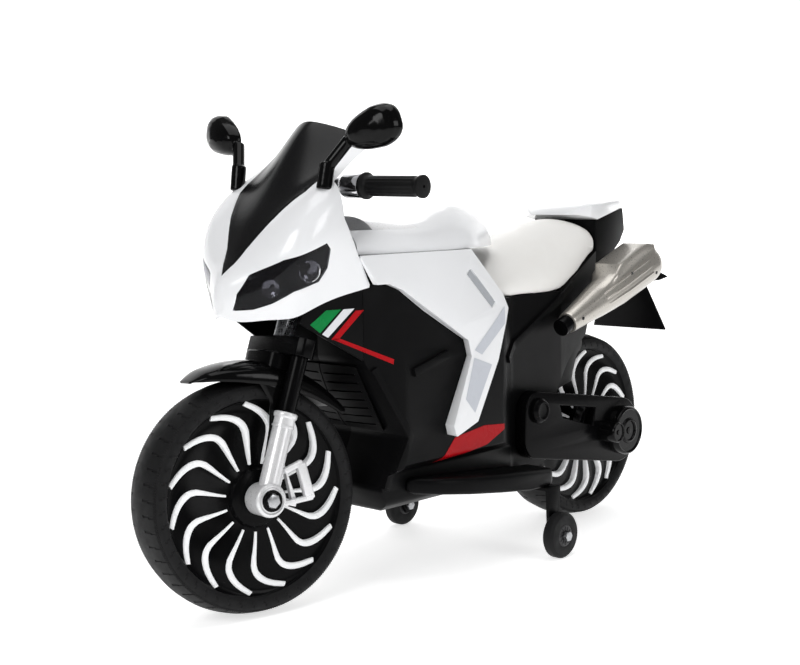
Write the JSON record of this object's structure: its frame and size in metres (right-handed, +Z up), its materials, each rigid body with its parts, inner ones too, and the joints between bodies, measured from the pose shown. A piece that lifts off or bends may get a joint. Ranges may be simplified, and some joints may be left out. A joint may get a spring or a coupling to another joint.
{
  "type": "kids electric motorbike",
  "caption": "Ride-on electric motorbike for children in black and white, with a faired front, padded seat, lit disc wheels and side training wheels; it steers and its wheels turn.",
  "frame": {"origin": "on the ground, below the middle of the overall length", "axes": "+X towards the front wheel, +Y to the rider's left, +Z up"},
  "size_m": [1.0954, 0.406, 0.6783],
  "materials": {
    "white_plastic": "gloss moulded",
    "black_body_plastic": "satin moulded",
    "black_gloss_plastic": "gloss moulded",
    "smoked_lens": "smoked clear plastic",
    "reflector_chrome": "vacuum plated",
    "silver_plastic": "silver paint on plastic",
    "champagne_plastic": "warm silver paint on plastic",
    "dark_plastic": "moulded",
    "chrome": "plated plastic",
    "tyre_rubber": "moulded foam rubber",
    "light_bar": "translucent white moulded",
    "seat_leather": "soft grained artificial leather",
    "red_lamp": "clear red moulded",
    "red_switch": "moulded",
    "black_switch": "moulded",
    "grip_rubber": "ribbed moulded",
    "steel": "zinc plated",
    "hub_plastic": "moulded",
    "mirror_glass": "silvered plastic sheet",
    "motor_case": "black painted",
    "battery_case": "moulded"
  },
  "bodies": {
    "chassis": {"steering_head": "steel", "body_shell_left": "black_body_plastic", "body_shell_right": "black_body_plastic", "cowl_wings": "black_body_plastic", "front_grille": "black_body_plastic", "windscreen": "black_gloss_plastic", "headlight_lenses": "smoked_lens", "headlight_trays": "reflector_chrome", "front_fairing": "white_plastic", "tank_cover": "white_plastic", "dashboard": "silver_plastic", "side_panel_left": "white_plastic", "side_panel_right": "white_plastic", "footboard_left": "black_body_plastic", "footboard_right": "black_body_plastic", "training_bolts": "steel", "training_brackets": "black_body_plastic", "seat": "seat_leather", "tail_body": "black_body_plastic", "tail_lamp": "red_lamp", "tail_cover": "white_plastic", "exhausts": "champagne_plastic", "exhaust_stubs": "dark_plastic", "plate_flap": "black_body_plastic", "rear_indicators": "black_body_plastic", "swingarm_left": "dark_plastic", "swingarm_right": "dark_plastic", "rear_axle": "steel", "gear_motors": "motor_case", "pivot_caps": "dark_plastic", "mirrors": "black_gloss_plastic", "mirror_glasses": "mirror_glass", "battery": "battery_case", "control_box": "battery_case", "charge_socket": "battery_case"},
    "steering": {"front_axle": "steel", "fork_tubes": "dark_plastic", "fork_leg_left": "silver_plastic", "fork_leg_right": "silver_plastic", "fork_crown": "dark_plastic", "steering_column": "steel", "front_fender": "black_gloss_plastic", "handlebar": "steel", "left_grip": "grip_rubber", "left_controls": "chrome", "right_controls": "chrome"},
    "throttle": {"throttle_grip": "grip_rubber"},
    "horn": {"horn_button": "black_switch"},
    "front_wheel": {"front_tyre": "tyre_rubber", "front_rim": "black_gloss_plastic", "front_wheel_lights": "light_bar"},
    "rear_wheel": {"rear_tyre": "tyre_rubber", "rear_rim": "black_gloss_plastic", "rear_wheel_lights": "light_bar"},
    "training_wheel_left": {"training_tyre_left": "tyre_rubber", "training_hub_left": "hub_plastic"},
    "training_wheel_right": {"training_tyre_right": "tyre_rubber", "training_hub_right": "hub_plastic"},
    "power_switch": {"power_rocker": "red_switch"},
    "direction_switch": {"direction_rocker": "black_switch"}
  },
  "joints": [
    {"name": "steering_turn", "type": "hinge", "parent": "chassis", "child": "steering", "pos_m": [0.3875, 0, 0.16], "axis": [-0.342, 0, 0.9397], "range_deg": [-8, 32]},
    {"name": "front_wheel_spin", "type": "hinge", "parent": "steering", "child": "front_wheel", "pos_m": [0.3875, 0, 0.16], "axis": [0.1954, 0.9781, 0.0711], "continuous": true},
    {"name": "rear_wheel_spin", "type": "hinge", "parent": "chassis", "child": "rear_wheel", "pos_m": [-0.3615, 0, 0.16], "axis": [0, 1, 0], "continuous": true},
    {"name": "training_wheel_left_spin", "type": "hinge", "parent": "chassis", "child": "training_wheel_left", "pos_m": [-0.105, 0.168, 0.0358], "axis": [0, 1, 0], "continuous": true},
    {"name": "training_wheel_right_spin", "type": "hinge", "parent": "chassis", "child": "training_wheel_right", "pos_m": [-0.105, -0.168, 0.0358], "axis": [0, 1, 0], "continuous": true},
    {"name": "throttle_twist", "type": "hinge", "parent": "steering", "child": "throttle", "pos_m": [0.22753, -0.04402, 0.57214], "axis": [-0.4412, -0.8829, -0.1606], "range_deg": [0, 50], "stiffness_Nm_per_rad": 0.15},
    {"name": "horn_press", "type": "slide", "parent": "steering", "child": "horn", "axis": [0.9374, 0.0698, 0.3412], "range_m": [0, 0.002], "stiffness_N_per_m": 250},
    {"name": "power_rock", "type": "hinge", "parent": "chassis", "child": "power_switch", "pos_m": [0.19, 0.04, 0.526], "axis": [0, 1, 0], "range_deg": [-16, 0]},
    {"name": "direction_rock", "type": "hinge", "parent": "chassis", "child": "direction_switch", "pos_m": [0.19, -0.04, 0.526], "axis": [0, 1, 0], "range_deg": [-16, 0]}
  ]
}
